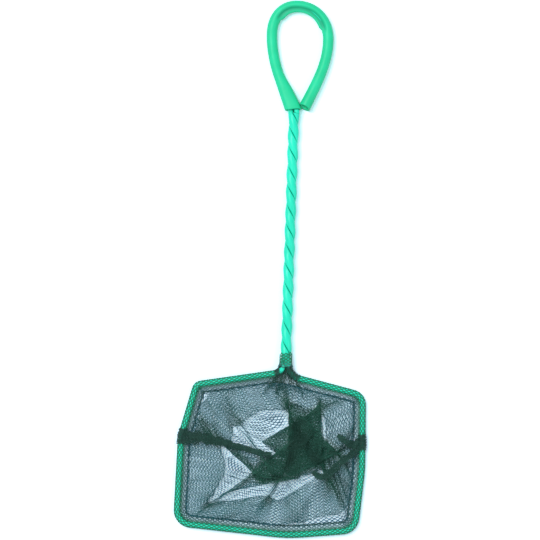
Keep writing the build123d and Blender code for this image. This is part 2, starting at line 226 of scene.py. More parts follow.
def keep_apart(points, row, column, thickness):
    """Pushes points of different layers out to a thickness. Points are binned into cubes of that size, and
    each is compared with those in its own and the 26 cubes round it, leaving out its neighbours in the
    cloth."""
    middle, cubes, share, most = 200, 512, 0.35, 0.6
    move = np.zeros_like(points)
    cube = np.floor(points / thickness).astype(np.int64) + middle
    key = (cube[:, 0] * cubes + cube[:, 1]) * cubes + cube[:, 2]
    order = np.argsort(key, kind="stable")
    sorted_key = key[order]
    steps = np.array([-1, 0, 1])
    offsets = ((steps[:, None, None] * cubes + steps[:, None]) * cubes + steps).ravel()
    for offset in offsets:
        low = np.searchsorted(sorted_key, key + offset, "left")
        high = np.searchsorted(sorted_key, key + offset, "right")
        for turn in range(int((high - low).max(initial=0))):
            one = np.nonzero(low + turn < high)[0]
            two = order[low[one] + turn]
            rows = np.abs(row[one] - row[two])
            columns = np.abs(column[one] - column[two])
            columns = np.minimum(columns, AROUND - columns)
            across = np.abs(column[one] + column[two] - AROUND)
            across = np.minimum(across, AROUND - across)
            at_toe = np.minimum(row[one], row[two]) >= ROWS - 2
            apart = (rows > 2) | ((columns > 2) & ~(at_toe & (across <= 2)))
            one, two = one[apart], two[apart]
            gap = points[one] - points[two]
            length = np.linalg.norm(gap, axis=1)
            close = (length < thickness) & (length > 1e-6)
            one, gap, length = one[close], gap[close], length[close]
            np.add.at(move, one, gap / length[:, None] * ((thickness - length) * share)[:, None])
    size = np.linalg.norm(move, axis=1, keepdims=True)
    return points + move * np.minimum(1, most / (size + 1e-9))


def settle(cloth, hops, steps):
    """Lets the bag sink under its weight. Each step moves every point by its speed, draws edges, diagonals
    and longer spans (which stiffen it against bending) back to their cut lengths, keeps layers apart,
    holds the bag near where it was laid, inside the hoop, above the table and below the pile's height, and
    takes speed from what touches the table."""
    rows = ROWS + 1
    depth_share = np.linspace(0, 1, rows)[:, None]
    even = np.clip(depth_share / 0.6, 0, 1)
    round_rest = (girth(depth_share) * (hops * (1 - even) + hops.mean() * even))[..., None]
    down_rest = BAG_DEPTH / ROWS
    slant_rest = np.sqrt(round_rest[:-1] * round_rest[1:] + down_rest**2)
    spans = (3, 6)
    span_rest = {n: sum(np.roll(round_rest, -k, 1) for k in range(n)) for n in spans}
    mirror = (-np.arange(AROUND)) % AROUND
    index = np.arange(rows * AROUND)
    row, column = index // AROUND, index % AROUND
    pinned, laid = cloth[0].copy(), cloth[..., :2].copy()
    hold = np.full((rows, 1, 1), 0.6)
    hold[-1] = 0.5
    speed = np.zeros_like(cloth)
    tick, weight, thickness = 1 / 150, 4500.0, 0.55
    sweeps, edge_pull, slant_pull, bend_pull = 12, 0.9, 0.12, 0.08
    press, wire_room, grip, kept_speed, top_speed = 0.85, 2.2, 0.5, 0.85, 900
    for _ in range(steps):
        speed[..., 2] -= weight * tick
        new = cloth + speed * tick
        new[0] = pinned
        for sweep in range(sweeps):
            for odd in (0, 1):
                turned = np.roll(new, -odd, 1)
                rest = np.roll(round_rest, -odd, 1)[:, 0::2]
                turned[:, 0::2], turned[:, 1::2] = pull(turned[:, 0::2], turned[:, 1::2], rest, edge_pull)
                new = np.roll(turned, odd, 1)
            for odd in (0, 1):
                last = odd + 2 * ((rows - odd) // 2)
                upper, lower = slice(odd, last, 2), slice(odd + 1, last, 2)
                new[upper], new[lower] = pull(new[upper], new[lower], down_rest, edge_pull)
                for slant in (1, -1):
                    other = np.roll(new[lower], slant, 1)
                    slanted = slant_rest[upper][: len(other)]
                    new[upper], other = pull(new[upper], other, slanted, slant_pull)
                    new[lower] = np.roll(other, -slant, 1)
            if sweep % 3 == 0:
                for n in spans:
                    one, two = pull(new, np.roll(new, -n, 1), span_rest[n], bend_pull)
                    new = 0.5 * (one + np.roll(two, n, 1))
                    one, two = pull(new[:-n], new[n:], down_rest * n, bend_pull)
                    shift = np.zeros_like(new)
                    shift[:-n] += one - new[:-n]
                    shift[n:] += two - new[n:]
                    new = new + 0.5 * shift
            new[-1] = 0.5 * (new[-1] + new[-1][mirror])
            new[0] = pinned
        new = keep_apart(new.reshape(-1, 3), row, column, thickness).reshape(new.shape)
        new[..., :2] += hold * (laid - new[..., :2])
        new[..., 2] -= press * np.maximum(new[..., 2] - PILE_HEIGHT, 0)
        for corner, normal in zip(HOOP_CORNERS, HOOP_INWARD):
            room = (new[1:, :, :2] - corner) @ normal - wire_room
            new[1:, :, :2] += np.maximum(-room, 0)[..., None] * normal
        resting = (new[..., 2] < FLOOR_GAP)[..., None]
        new[..., 2] = np.maximum(new[..., 2], FLOOR_GAP)
        new[..., :2] -= np.where(resting, grip * (new[..., :2] - cloth[..., :2]), 0)
        new[0] = pinned
        speed = (new - cloth) / tick * kept_speed
        pace = np.linalg.norm(speed, axis=-1, keepdims=True)
        speed *= np.minimum(1, top_speed / (pace + 1e-9))
        cloth = new
    return cloth


def cubic(index):
    """Whole part of an index and the four Catmull-Rom weights for the fraction."""
    low = np.floor(index).astype(int)
    f = index - low
    weights = [
        -0.5 * f + f**2 - 0.5 * f**3,
        1 - 2.5 * f**2 + 1.5 * f**3,
        0.5 * f + 2 * f**2 - 1.5 * f**3,
        -0.5 * f**2 + 0.5 * f**3,
    ]
    return low, weights


def cloth_at(cloth, row, column):
    """Places on the cloth at fractional rows and columns, smooth both ways by Catmull-Rom weights."""
    low_row, row_weights = cubic(row)
    low_column, column_weights = cubic(column)
    place = 0
    for i, wr in enumerate(row_weights):
        r = np.clip(low_row + i - 1, 0, ROWS)
        for j, wc in enumerate(column_weights):
            place = place + cloth[r, (low_column + j - 1) % AROUND] * (wr * wc)[..., None]
    return place


def cloth_normal(cloth, row, column):
    """Normal of the cloth, the cross product of its slopes along a row and down a column."""
    reach = 0.3
    along = cloth_at(cloth, row, column + reach) - cloth_at(cloth, row, column - reach)
    below, above = np.minimum(row + reach, ROWS), np.maximum(row - reach, 0)
    down = cloth_at(cloth, below, column) - cloth_at(cloth, above, column)
    return unit(np.cross(along, down))


def ring_quads(shape, closed=False):
    """Quads between neighbouring rings of points. A closed run joins its last ring to its first."""
    index = np.arange(np.prod(shape)).reshape(shape)
    here = index if closed else index[..., :-1, :]
    there = np.roll(index, -1, -2) if closed else index[..., 1:, :]
    return np.stack([here, np.roll(here, -1, -1), np.roll(there, -1, -1), there], -1).reshape(-1, 4)


def tube_mesh(lines, normals, radius, sides, closed=False):
    """Tubes round many lines at once. Each ring lies at radius (cos a * side + sin a * up) about its
    point, where side is the tangent crossed with the normal. Returns points and quads."""
    if closed:
        tangent = np.roll(lines, -1, 1) - np.roll(lines, 1, 1)
    else:
        tangent = np.gradient(lines, axis=1)
    side = unit(np.cross(tangent, normals))
    up = unit(np.cross(side, tangent))
    angle = np.arange(sides) * TURN / sides
    thick = np.broadcast_to(radius, lines.shape[:2])[..., None, None]
    ring = np.cos(angle)[:, None] * side[:, :, None] + np.sin(angle)[:, None] * up[:, :, None]
    points = (lines[:, :, None] + thick * ring).reshape(-1, 3)
    return points, ring_quads((*lines.shape[:2], sides), closed)


def joined(parts):
    """Several sets of points and quads as one."""
    starts = np.cumsum([0] + [len(points) for points, _ in parts[:-1]])
    quads = np.concatenate([quads + start for (_, quads), start in zip(parts, starts)])
    return np.concatenate([points for points, _ in parts]), quads


def new_object(name, data):
    """A new object in the scene."""
    thing = bpy.data.objects.new(name, data)
    bpy.context.scene.collection.objects.link(thing)
    return thing


def add_piece(name, points, quads, material, slot, crowd=None):
    """Puts points in millimetres and quads into a smooth mesh object that rides on the net."""
    mesh = bpy.data.meshes.new(name)
    mesh.vertices.add(len(points))
    mesh.vertices.foreach_set("co", (points * MM).astype(np.float32).ravel())
    mesh.loops.add(quads.size)
    mesh.loops.foreach_set("vertex_index", quads.astype(np.int32).ravel())
    mesh.polygons.add(len(quads))
    mesh.polygons.foreach_set("loop_start", np.arange(0, quads.size, 4, dtype=np.int32))
    mesh.polygons.foreach_set("use_smooth", np.ones(len(quads), bool))
    mesh.update(calc_edges=True)
    if crowd is not None:
        layer = mesh.attributes.new("crowd", "FLOAT", "POINT")
        layer.data.foreach_set("value", crowd.astype(np.float32))
    mesh.materials.append(material)
    piece = new_object(name, mesh)
    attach(piece, BODY)
    return piece


# Materials
COLOUR, VALUE, VECTOR = "NodeSocketColor", "NodeSocketFloat", "NodeSocketVector"
SURFACE = {"Colour": COLOUR, "Roughness": VALUE, "Height": VALUE}


def new_material(name):
    """A material with nodes, and its node tree."""
    material = bpy.data.materials.new(name)
    material.use_nodes = True
    return material, material.node_tree


def set_inputs(node, **values):
    """Sets a node's inputs by name, with underscores for spaces. Colours are made solid."""
    for name, value in values.items():
        solid = (*value, 1) if isinstance(value, tuple) else value
        node.inputs[name.replace("_", " ")].default_value = solid


def link_surface(tree, made, *results):
    """Links a group's colour, roughness and height to its outputs."""
    for name, result in zip(SURFACE, results):
        tree.links.new(result, made[name])


def crowd_value(tree):
    """The piece's own crowd value."""
    node = tree.nodes.new("ShaderNodeAttribute")
    node.attribute_name = "crowd"
    return node.outputs["Fac"]


def new_group(name, inputs):
    """An empty shader node group with named inputs and a surface's outputs, and both sets of sockets."""
    group = bpy.data.node_groups.new(name, "ShaderNodeTree")
    for in_out, sockets in (("INPUT", inputs), ("OUTPUT", SURFACE)):
        for label, kind in sockets.items():
            group.interface.new_socket(name=label, in_out=in_out, socket_type=kind)
    return group, group.nodes.new("NodeGroupInput").outputs, group.nodes.new("NodeGroupOutput").inputs


def noise(tree, vector, scale, detail, roughness=0.5):
    """A noise texture read at a vector."""
    node = tree.nodes.new("ShaderNodeTexNoise")
    set_inputs(node, Scale=scale, Detail=detail, Roughness=roughness)
    tree.links.new(vector, node.inputs["Vector"])
    return node.outputs["Fac"]


def mixed_colour(tree, factor, one, two):
    """A colour between two sockets or values by a factor."""
    node = tree.nodes.new("ShaderNodeMix")
    node.data_type = "RGBA"
    tree.links.new(factor, node.inputs["Factor"])
    for end, name in ((one, "A"), (two, "B")):
        socket = [s for s in node.inputs if s.name == name and s.type == "RGBA"][0]
        if isinstance(end, tuple):
            socket.default_value = (*end, 1)
        else:
            tree.links.new(end, socket)
    return [s for s in node.outputs if s.type == "RGBA"][0]


def stretched(tree, factor, low, high, new_low=0.0, new_high=1.0):
    """A value mapped from one range to another."""
    node = tree.nodes.new("ShaderNodeMapRange")
    names = ("From Min", "From Max", "To Min", "To Max")
    for name, value in zip(names, (low, high, new_low, new_high)):
        if isinstance(value, (int, float)):
            node.inputs[name].default_value = value
        else:
            tree.links.new(value, node.inputs[name])
    tree.links.new(factor, node.inputs["Value"])
    return node.outputs["Result"]


def plastic_skin_group():
    """Soft plastic skin: broad cloudy patches of two colours, fine grain and a dusty change of gloss."""
    inputs = {"Place": VECTOR, "Colour": COLOUR, "Shade": COLOUR, "Smooth": VALUE, "Dull": VALUE}
    tree, given, made = new_group("plastic_skin", inputs)
    cloud = stretched(tree, noise(tree, given["Place"], 90, 3), 0.35, 0.7)
    tone = mixed_colour(tree, cloud, given["Colour"], given["Shade"])
    grain = noise(tree, given["Place"], 1900, 4, 0.6)
    dust = noise(tree, given["Place"], 260, 5, 0.6)
    gloss = stretched(tree, dust, 0.3, 0.7, given["Smooth"], given["Dull"])
    link_surface(tree, made, tone, gloss, grain)
    return tree


def yarn_group():
    """Nylon yarn: two tones that change in fine flecks along it, and a fibrous surface."""
    tree, given, made = new_group("yarn", {"Place": VECTOR, "Colour": COLOUR, "Fleck": COLOUR})
    fleck = stretched(tree, noise(tree, given["Place"], 1500, 2), 0.4, 0.72)
    tone = mixed_colour(tree, fleck, given["Colour"], given["Fleck"])
    gloss = stretched(tree, fleck, 0.0, 1.0, 0.62, 0.4)
    fibre = noise(tree, given["Place"], 9000, 2)
    link_surface(tree, made, tone, gloss, fibre)
    return tree


def material_with(name, group, bump, bump_reach):
    """A material whose shader takes colour, roughness and bump from a group on object coordinates."""
    material, tree = new_material(name)
    shader = tree.nodes["Principled BSDF"]
    node = tree.nodes.new("ShaderNodeGroup")
    node.node_tree = group
    place = tree.nodes.new("ShaderNodeTexCoord")
    tree.links.new(place.outputs["Object"], node.inputs["Place"])
    tree.links.new(node.outputs["Colour"], shader.inputs["Base Color"])
    tree.links.new(node.outputs["Roughness"], shader.inputs["Roughness"])
    height = tree.nodes.new("ShaderNodeBump")
    set_inputs(height, Strength=bump, Distance=bump_reach)
    tree.links.new(node.outputs["Height"], height.inputs["Height"])
    tree.links.new(height.outputs["Normal"], shader.inputs["Normal"])
    return material, shader, node


skin, yarn = plastic_skin_group(), yarn_group()


def plastic(name, colour, shade, smooth, dull, bump, painted_shade_colour):
    """A coloured plastic finish with painted shade: darker towards a deep colour in narrow creases, found
    by ambient occlusion, and where the piece's own crowd value marks shade, as along the sleeve's groove."""
    material, shader, node = material_with(name, skin, bump, 0.00006)
    set_inputs(node, Colour=colour, Shade=shade, Smooth=smooth, Dull=dull)
    set_inputs(shader, Specular_IOR_Level=0.3)
    tree = material.node_tree
    # Painted shade: the colour darkens towards the deep colour in narrow creases, found by ambient
    # occlusion.
    crease = tree.nodes.new("ShaderNodeAmbientOcclusion")
    crease.samples = 8
    set_inputs(crease, Distance=0.0016)
    open_share = stretched(tree, crease.outputs["AO"], 0.25, 0.75)
    folded = mixed_colour(tree, open_share, painted_shade_colour, node.outputs["Colour"])
    # Painted shade: darker still where the piece's crowd value is high, as along the sleeve's groove.
    crowd_shaded = mixed_colour(tree, crowd_value(tree), folded, painted_shade_colour)
    tree.links.new(crowd_shaded, shader.inputs["Base Color"])
    return material


def thread(name, colour, fleck):
    """A nylon thread finish."""
    material, _, node = material_with(name, yarn, 0.3, 0.00003)
    set_inputs(node, Colour=colour, Fleck=fleck)
    return material, node


def net_thread(name, tones):
    """Mesh thread whose colour deepens with the piece's own crowd value; on the bag this is painted shade
    where the mesh lies heaped. Each tone has a place from 0 to 1, a colour and a fleck."""
    material, node = thread(name, *tones[0][1:])
    tree = material.node_tree
    crowd = crowd_value(tree)
    for socket, kind in (("Colour", 1), ("Fleck", 2)):
        ramp = tree.nodes.new("ShaderNodeValToRGB")
        stops = ramp.color_ramp.elements
        for index, tone in enumerate(tones):
            stop = stops[index] if index < 2 else stops.new(tone[0])
            stop.position = tone[0]
            stop.color = (*tone[kind], 1)
        tree.links.new(crowd, ramp.inputs["Fac"])
        tree.links.new(ramp.outputs["Color"], node.inputs[socket])
    return material


# Each deep colour is painted shade for creases, and for the sleeve's groove too.
vinyl = plastic(
    "turquoise_vinyl", colour=(0.02, 0.84, 0.57), shade=(0.015, 0.76, 0.51), painted_shade_colour=(0.003, 0.22, 0.13),
    smooth=0.30, dull=0.45, bump=0.08,
)
sleeve_plastic = plastic(
    "green_sleeve", colour=(0.015, 0.69, 0.36), shade=(0.01, 0.60, 0.29), painted_shade_colour=(0.012, 0.30, 0.17),
    smooth=0.40, dull=0.55, bump=0.15,
)
hem_yarn = net_thread("hem_yarn", [
    (0.0, (0.008, 0.19, 0.095), (0.025, 0.29, 0.16)),
    (1.0, (0.045, 0.16, 0.185), (0.10, 0.26, 0.29)),
])
# Painted shade: the tones turn darker and greener as the mesh lies more heaped.
net_yarn = net_thread("net_yarn", [
    (0.09, (0.018, 0.110, 0.170), (0.04, 0.20, 0.29)),
    (0.44, (0.020, 0.150, 0.178), (0.055, 0.27, 0.32)),
    (0.58, (0.014, 0.098, 0.084), (0.040, 0.18, 0.155)),
    (0.70, (0.012, 0.105, 0.076), (0.045, 0.22, 0.165)),
    (0.84, (0.010, 0.095, 0.066), (0.040, 0.205, 0.148)),
    (0.97, (0.004, 0.050, 0.034), (0.015, 0.110, 0.080)),
])
stitch_yarn, _ = thread("stitch_yarn", (0.010, 0.055, 0.050), (0.03, 0.12, 0.11))
gather_yarn, _ = thread("gather_yarn", (0.008, 0.060, 0.046), (0.024, 0.125, 0.095))


def drawn_steel():
    """Drawn wire: grey metal with streaks of gloss."""
    material, tree = new_material("drawn_steel")
    shader = tree.nodes["Principled BSDF"]
    set_inputs(shader, Metallic=1.0)
    place = tree.nodes.new("ShaderNodeTexCoord")
    streak = noise(tree, place.outputs["Object"], 700, 3)
    grey = mixed_colour(tree, streak, (0.45, 0.46, 0.47), (0.6, 0.61, 0.62))
    tree.links.new(stretched(tree, streak, 0.3, 0.7, 0.25, 0.5), shader.inputs["Roughness"])
    tree.links.new(grey, shader.inputs["Base Color"])
    return material


COATINGS = ["hoop_coating", "short_strand_coating", "long_strand_coating", "loop_coating"]
for node_name, finish in {"wire_core": drawn_steel(), **dict.fromkeys(COATINGS, vinyl)}.items():
    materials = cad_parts[node_name].data.materials
    materials.clear()
    materials.append(finish)


# Threads of the bag
def layer_square(points):
    """Indices of the counting squares that points lie over."""
    square = np.floor(points[..., :2] / LAYER_CELL).astype(int) + LAYER_HALF
    square = np.clip(square, 0, 2 * LAYER_HALF - 1)
    return square[..., 0], square[..., 1]


def layer_map(cloth):
    """How many layers of cloth lie over each square of the table: the cloth's area over the square's."""
    rows = np.linspace(0, ROWS, ROWS * 6 + 1)
    columns = np.linspace(0, AROUND, AROUND * 6, endpoint=False)
    fine = cloth_at(cloth, *np.meshgrid(rows, columns, indexing="ij"))
    along = np.linalg.norm(np.roll(fine, -1, 1) - fine, axis=-1)[:-1]
    down = np.linalg.norm(fine[1:] - fine[:-1], axis=-1)
    layers = np.zeros((2 * LAYER_HALF, 2 * LAYER_HALF))
    np.add.at(layers, layer_square(fine[:-1]), along * down / LAYER_CELL**2)
    for axis in (0, 1):
        layers = 0.25 * np.roll(layers, 1, axis) + 0.5 * layers + 0.25 * np.roll(layers, -1, axis)
    return layers


def crowding(points, layers):
    """From 0 for a single layer to 1 where the most are heaped, by the logarithm of their number."""
    count = np.maximum(layers[layer_square(points)], 1)
    return np.minimum(np.log(count) / np.log(MOST_LAYERS), 1)


def zigzag(count, periods, amplitude):
    """Sideways offsets of knitted threads: each runs straight where it touches a neighbour, then slants
    over to the other side, with the next thread the opposite way. Also gives the phase of each point."""
    phase = [0.0, 0.2, 0.5, 0.7]
    swing = [1.0, 1.0, -1.0, -1.0]
    steps = (np.arange(periods)[:, None] + phase).ravel()
    sides = np.where(np.arange(count) % 2, -1.0, 1.0)
    return steps, sides[:, None] * np.tile(swing, periods) * amplitude


def net_threads(cloth, layers, first_column, columns, rim_length):
    """One panel's threads: thread k runs down the bag at column k times the pitch, swinging from side to
    side in a zigzag so that neighbours touch and leave diamond cells. Each is knotted half way down, and
    its filaments spread where the mesh lies single."""
    count = round(rim_length / MESH_PITCH)
    periods = round(BAG_DEPTH / MESH_RISE)
    pitch = columns / count
    swing = 0.5 * pitch * (1 - YARN_TOUCH / MESH_PITCH)
    steps, offsets = zigzag(count, periods, swing)
    row = np.broadcast_to(steps * ROWS / periods, offsets.shape)
    column = first_column + (np.arange(count)[:, None] + 0.5) * pitch + offsets
    lines, normals = cloth_at(cloth, row, column), cloth_normal(cloth, row, column)
    radius = YARN_RADIUS + YARN_SPREAD * np.clip(1 - crowding(lines, layers) / SPREAD_BELOW, 0, 1)
    knot = lines.shape[1] // 2
    halves = slice(None, knot + 1), slice(knot, None)
    return joined([tube_mesh(lines[:, half], normals[:, half], radius[:, half], 3) for half in halves])


rim = rim_points()
hops = np.linalg.norm(np.roll(rim, -1, 0) - rim, axis=1)
laid_bag = folded_bag(np.random.default_rng(BAG_SEED), rim)
cloth = settle(laid_bag, hops, SETTLE_STEPS)
layers = layer_map(cloth)
half_round = AROUND // 2

for panel, first_column, stands_for in (
    ("net_upper", 0, ["net_upper_panel", "bag_toe"]),
    ("net_lower", half_round, ["net_lower_panel"]),
):
    width = hops[first_column : first_column + half_round].sum()
    points, quads = net_threads(cloth, layers, first_column, half_round, width)
    points[:, 2] = np.maximum(points[:, 2], NET_LOW)
    # The crowd value gives the yarn painted shade where layers are heaped.
    piece = add_piece(panel, points, quads, net_yarn, "net_mesh", crowding(points, layers))
    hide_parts(*stands_for)


# Hem: a strip of the mesh turned round the wire and sewn to itself
STITCH_INSET, STITCH_Z = 4.6, 0.72
HEM_YARN_RADIUS = 0.2
HEM_POINTS = 400
UNDER_SEAM = 2


def hem_profile():
    """Section of the hem, as inset from the wire's centre and height: in along the table to the wire, most
    of a turn round it, and back over the top past the row of stitches. Also gives the length along it."""
    radius = WIRE_RADIUS + HEM_YARN_RADIUS - 0.02
    angle = np.radians(np.linspace(-62, -322, 30))
    turn = np.stack([radius * np.cos(angle), HOOP_Z + radius * np.sin(angle)], 1)
    lower = np.array([(STITCH_INSET + 0.6, 0.3), (3.2, 0.3)])
    upper = np.array([(2.6, 1.9), (3.8, 1.0), (STITCH_INSET + 0.6, STITCH_Z)])
    return evenly(np.concatenate([lower, turn, upper]), HEM_POINTS)


centre_line, centre_inward, centre_step, centre_right = hoop_line(0.0)
centre_length = len(centre_line) * centre_step
hem_section, hem_run = hem_profile()
hem_girth = hem_run[-1]


def on_hoop(place):
    """Places at lengths along the hoop's line, and the inward directions there."""
    index = place / centre_step
    return sample(centre_line, index), unit(sample(centre_inward, index))


def hem_threads(start, stop):
    """Threads of the hem between two places along the hoop: each follows the hem's section round the wire
    and swings along the hoop in the mesh's zigzag."""
    count = max(int((stop - start) / HEM_PITCH), 2)
    periods = round(hem_girth / HEM_RISE)
    pitch = (stop - start) / count
    steps, offsets = zigzag(count, periods, 0.5 * (pitch - YARN_TOUCH))
    section = sample(hem_section, steps / periods * (HEM_POINTS - 1))
    middle, inward = on_hoop(start + (np.arange(count)[:, None] + 0.5) * pitch + offsets)
    inset, height = section[:, 0], section[:, 1]
    lines = raised(middle + inward * inset[None, :, None], height)
    slope = np.gradient(section, axis=0)
    normals = raised(inward * slope[None, :, 1:], -slope[:, 0])
    off_wire = np.clip(np.hypot(inset, height - HOOP_Z) - WIRE_RADIUS - 0.5, 0, 1)
    points, quads = tube_mesh(lines, normals, HEM_YARN_RADIUS - 0.07 * off_wire, 4)
    return points, quads, np.tile(np.repeat(off_wire, 4), count)


def neck_at(x):
    """Length along the hoop's line to its first place past an x at the neck."""
    return np.argmax((centre_line[:, 0] > x) & (centre_line[:, 1] > 30)) * centre_step


right_seam_at = centre_right * centre_step
neck_left_at, neck_right_at = neck_at(NECK_LEFT_X), neck_at(NECK_RIGHT_X)
HEM_RUNS = {
    "hem_upper_left": (SEAM_HALF - UNDER_SEAM, neck_left_at),
    "hem_upper_right": (neck_right_at, right_seam_at - SEAM_HALF + UNDER_SEAM),
    "hem_lower": (right_seam_at + SEAM_HALF - UNDER_SEAM, centre_length - SEAM_HALF + UNDER_SEAM),
}
for name, (start, stop) in HEM_RUNS.items():
    points, quads, off_wire = hem_threads(start, stop)
    add_piece(name + "_mesh", points, quads, hem_yarn, "hem_mesh", off_wire)
    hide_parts(name)


def stitch_row(start, stop):
    """Row of stitches along the hoop: a thread that rises over the mesh and dips through it every stitch,
    thinner where it dips and a little out of line."""
    stitch, step = 2.1, 0.26
    place = np.linspace(start, stop, int((stop - start) / step))
    beat = np.pi * place / stitch
    middle, inward = on_hoop(place)
    wander = 0.12 * np.sin(0.9 * place) + 0.08 * np.sin(2.3 * place + 1)
    flat = middle + inward * (STITCH_INSET + wander + 0.1 * np.sign(np.sin(beat)))[:, None]
    lift = STITCH_Z + 0.34 * np.abs(np.sin(beat)) ** 0.7
    radius = 0.16 + 0.12 * np.abs(np.sin(beat)) ** 0.5
    return tube_mesh(raised(flat, lift)[None], UP, radius[None], 6)


for name, start, stop in (
    ("hem_thread_upper", SEAM_HALF, right_seam_at - SEAM_HALF),
    ("hem_thread_lower", right_seam_at + SEAM_HALF, centre_length - SEAM_HALF),
):
    row_piece = add_piece(name + "_row", *stitch_row(start, stop), stitch_yarn, "sewing_thread")
    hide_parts(name)


# Gathered side seams
BAND_HEIGHT = 1.5, 1.3, 1.0, 0.8


def bundle(path, width, count, seed):
    """Bunched mesh along a path: threads spread over a width and a height that change along it, each
    wandering by slow sines of its own and jogging to and fro as knitted yarn does."""
    rng = np.random.default_rng(seed)
    length = run_along(path)[-1]
    line, spaced = evenly(path, max(int(length / 0.35), 8))
    share = spaced / length
    side = unit(np.cross(unit(np.gradient(line, axis=0)), UP))
    spread = np.interp(share, np.linspace(0, 1, len(width)), width)
    spread = spread * (1 + 0.16 * np.sin(1.1 * spaced + seed) + 0.1 * np.sin(2.7 * spaced))
    tall = np.interp(share, np.linspace(0, 1, len(BAND_HEIGHT)), BAND_HEIGHT)
    aside = rng.uniform(-1, 1, count)[:, None]
    above = rng.uniform(0, 1, count)[:, None]
    turns = rng.uniform(0, TURN, (4, count, 1))
    pace = rng.uniform(0.25, 0.8, (2, count, 1))
    across = aside + 0.35 * np.sin(pace[0] * spaced + turns[0]) + 0.24 * np.sin(4.5 * spaced + turns[2])
    lift = above + 0.3 * np.sin(pace[1] * spaced + turns[1]) + 0.12 * np.sin(5.2 * spaced + turns[3])
    lines = line + side * (across * spread)[..., None] + UP * (lift * tall)[..., None]
    lines[..., 2] = np.maximum(lines[..., 2], THREAD_LOW)
    normals = UP + 0.2 * rng.normal(size=(count, 1, 3))
    return tube_mesh(lines, normals, GATHER_RADIUS, 3)


def seam_path(at, places):
    """A gather's line from the hoop over the bag: its places drawn as a smooth curve by Catmull-Rom
    weights, at the height of the highest mesh close by."""
    close = 2
    hoop_place, _ = on_hoop(np.array([at]))
    line = np.concatenate([hoop_place, places])
    low, weights = cubic(np.linspace(0, len(line) - 1.001, 40))
    flat = sum(line[np.clip(low + k - 1, 0, len(line) - 1)] * w[:, None] for k, w in enumerate(weights))
    bag = cloth.reshape(-1, 3)
    near = np.linalg.norm(flat[:, None] - bag[:, :2], axis=-1) < close
    top = np.maximum(np.where(near, bag[:, 2], 0).max(1), 0.4)
    top[:4] = np.linspace(HOOP_Z, top[4], 4)
    padded = np.pad(top, 3, mode="edge")
    smooth = sum(padded[k : k + len(top)] for k in range(7)) / 7
    return raised(flat, smooth)


def wrap_turns(at, count, seed):
    """Mesh bunched round the hoop: turns of thread in uneven circles about the wire, spread along it."""
    rng = np.random.default_rng(seed)
    angle = np.linspace(0, TURN, 28, endpoint=False)
    spread = (np.arange(count) / (count - 1) - 0.5)[:, None] * (2 * SEAM_HALF)
    start = at + spread + rng.normal(0, 0.1, (count, 1))
    tilt = rng.uniform(-0.5, 0.5, (count, 1))
    place = start + tilt * np.cos(angle) + 0.22 * np.sin(5 * angle + rng.uniform(0, TURN, (count, 1)))
    swell = rng.uniform(WIRE_RADIUS + 0.2, WIRE_RADIUS + 0.85, (count, 1))
    swell = swell + 0.12 * np.sin(3 * angle + rng.uniform(0, TURN, (count, 1)))
    middle, inward = on_hoop(place)
    flat = middle + inward * (swell * np.cos(angle))[..., None]
    lines = raised(flat, np.maximum(HOOP_Z + swell * np.sin(angle), THREAD_LOW))
    return tube_mesh(lines, lines - raised(middle, HOOP_Z), GATHER_RADIUS, 3, closed=True)


# Each band: its places, its half widths along the way and its number of threads
LEFT_BAND = [(-42.0, 7.8), (-30.5, 6.0), (-22.5, 3.6), (-14.0, 1.8), (-6.0, 0.0)]
RIGHT_UPPER = [(36.5, 6.8), (32.6, 8.7), (28.5, 12.0)]
RIGHT_LOWER = [(35.5, 1.6), (30.3, -2.5), (25.5, -7.6), (21.0, -10.5), (16.0, -8.0)]
LEFT_BANDS = [(LEFT_BAND, (2.9, 2.6, 1.9, 1.2, 1.2, 1.1, 0.9), 48)]
RIGHT_BANDS = [(RIGHT_UPPER, (2.0, 1.5, 1.2, 0.8), 44), (RIGHT_LOWER, (2.0, 1.4, 1.5, 1.6, 0.9), 30)]
for name, at, bands, seed in (
    ("left_side_seam", centre_length, LEFT_BANDS, 11),
    ("right_side_seam", right_seam_at, RIGHT_BANDS, 12),
):
    parts = [wrap_turns(at, 44, seed + 10)]
    for number, (places, width, count) in enumerate(bands):
        parts.append(bundle(seam_path(at, places), width, count, seed + 100 * number))
    seam_piece = add_piece(name + "_gather", *joined(parts), gather_yarn, "net_mesh")
    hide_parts(name)


# Neck: mesh drawn up round the two legs of the wire and the foot of the twist
TWIST_START_Y, TWIST_Z = 47.5, 3.46
STRAND_RADIUS, TWIST_RADIUS = 1.51, 2.96


def sleeve_turns(path, count, seed):
    """Mesh drawn round a path: rings of thread at uneven radii about it, tilted and waved along it."""
    rng = np.random.default_rng(seed)
    run = run_along(path)
    angle = np.linspace(0, TURN, 30, endpoint=False)
    start = (np.arange(count) + 0.5)[:, None] / count * run[-1]
    wave = 0.3 * np.sin(6 * angle + rng.uniform(0, TURN, (count, 1)))
    place = np.clip(start + rng.uniform(-0.7, 0.7, (count, 1)) * np.cos(angle) + wave, 0, run[-1])
    middle = read_line(path, run, place)
    tangent = unit(read_line(np.gradient(path, axis=0), run, place))
    side = unit(np.cross(tangent, UP))
    rise = np.cross(side, tangent)
    swell = WIRE_RADIUS + 0.15 + rng.uniform(0, 0.45, (count, 1))
    swell = swell + 0.08 * np.sin(4 * angle + rng.uniform(0, TURN, (count, 1)))
    out = np.cos(angle)[:, None] * side + np.sin(angle)[:, None] * rise
    lines = middle + swell[..., None] * out
    lines[..., 2] = np.maximum(lines[..., 2], THREAD_LOW)
    return tube_mesh(lines, out, GATHER_RADIUS, 3, closed=True)


def bow(start, control, end, count):
    """A smooth curve from start to end, drawn towards a control point (quadratic Bezier)."""
    t = np.linspace(0, 1, count)[:, None]
    return (1 - t) ** 2 * start + 2 * t * (1 - t) * control + t**2 * end


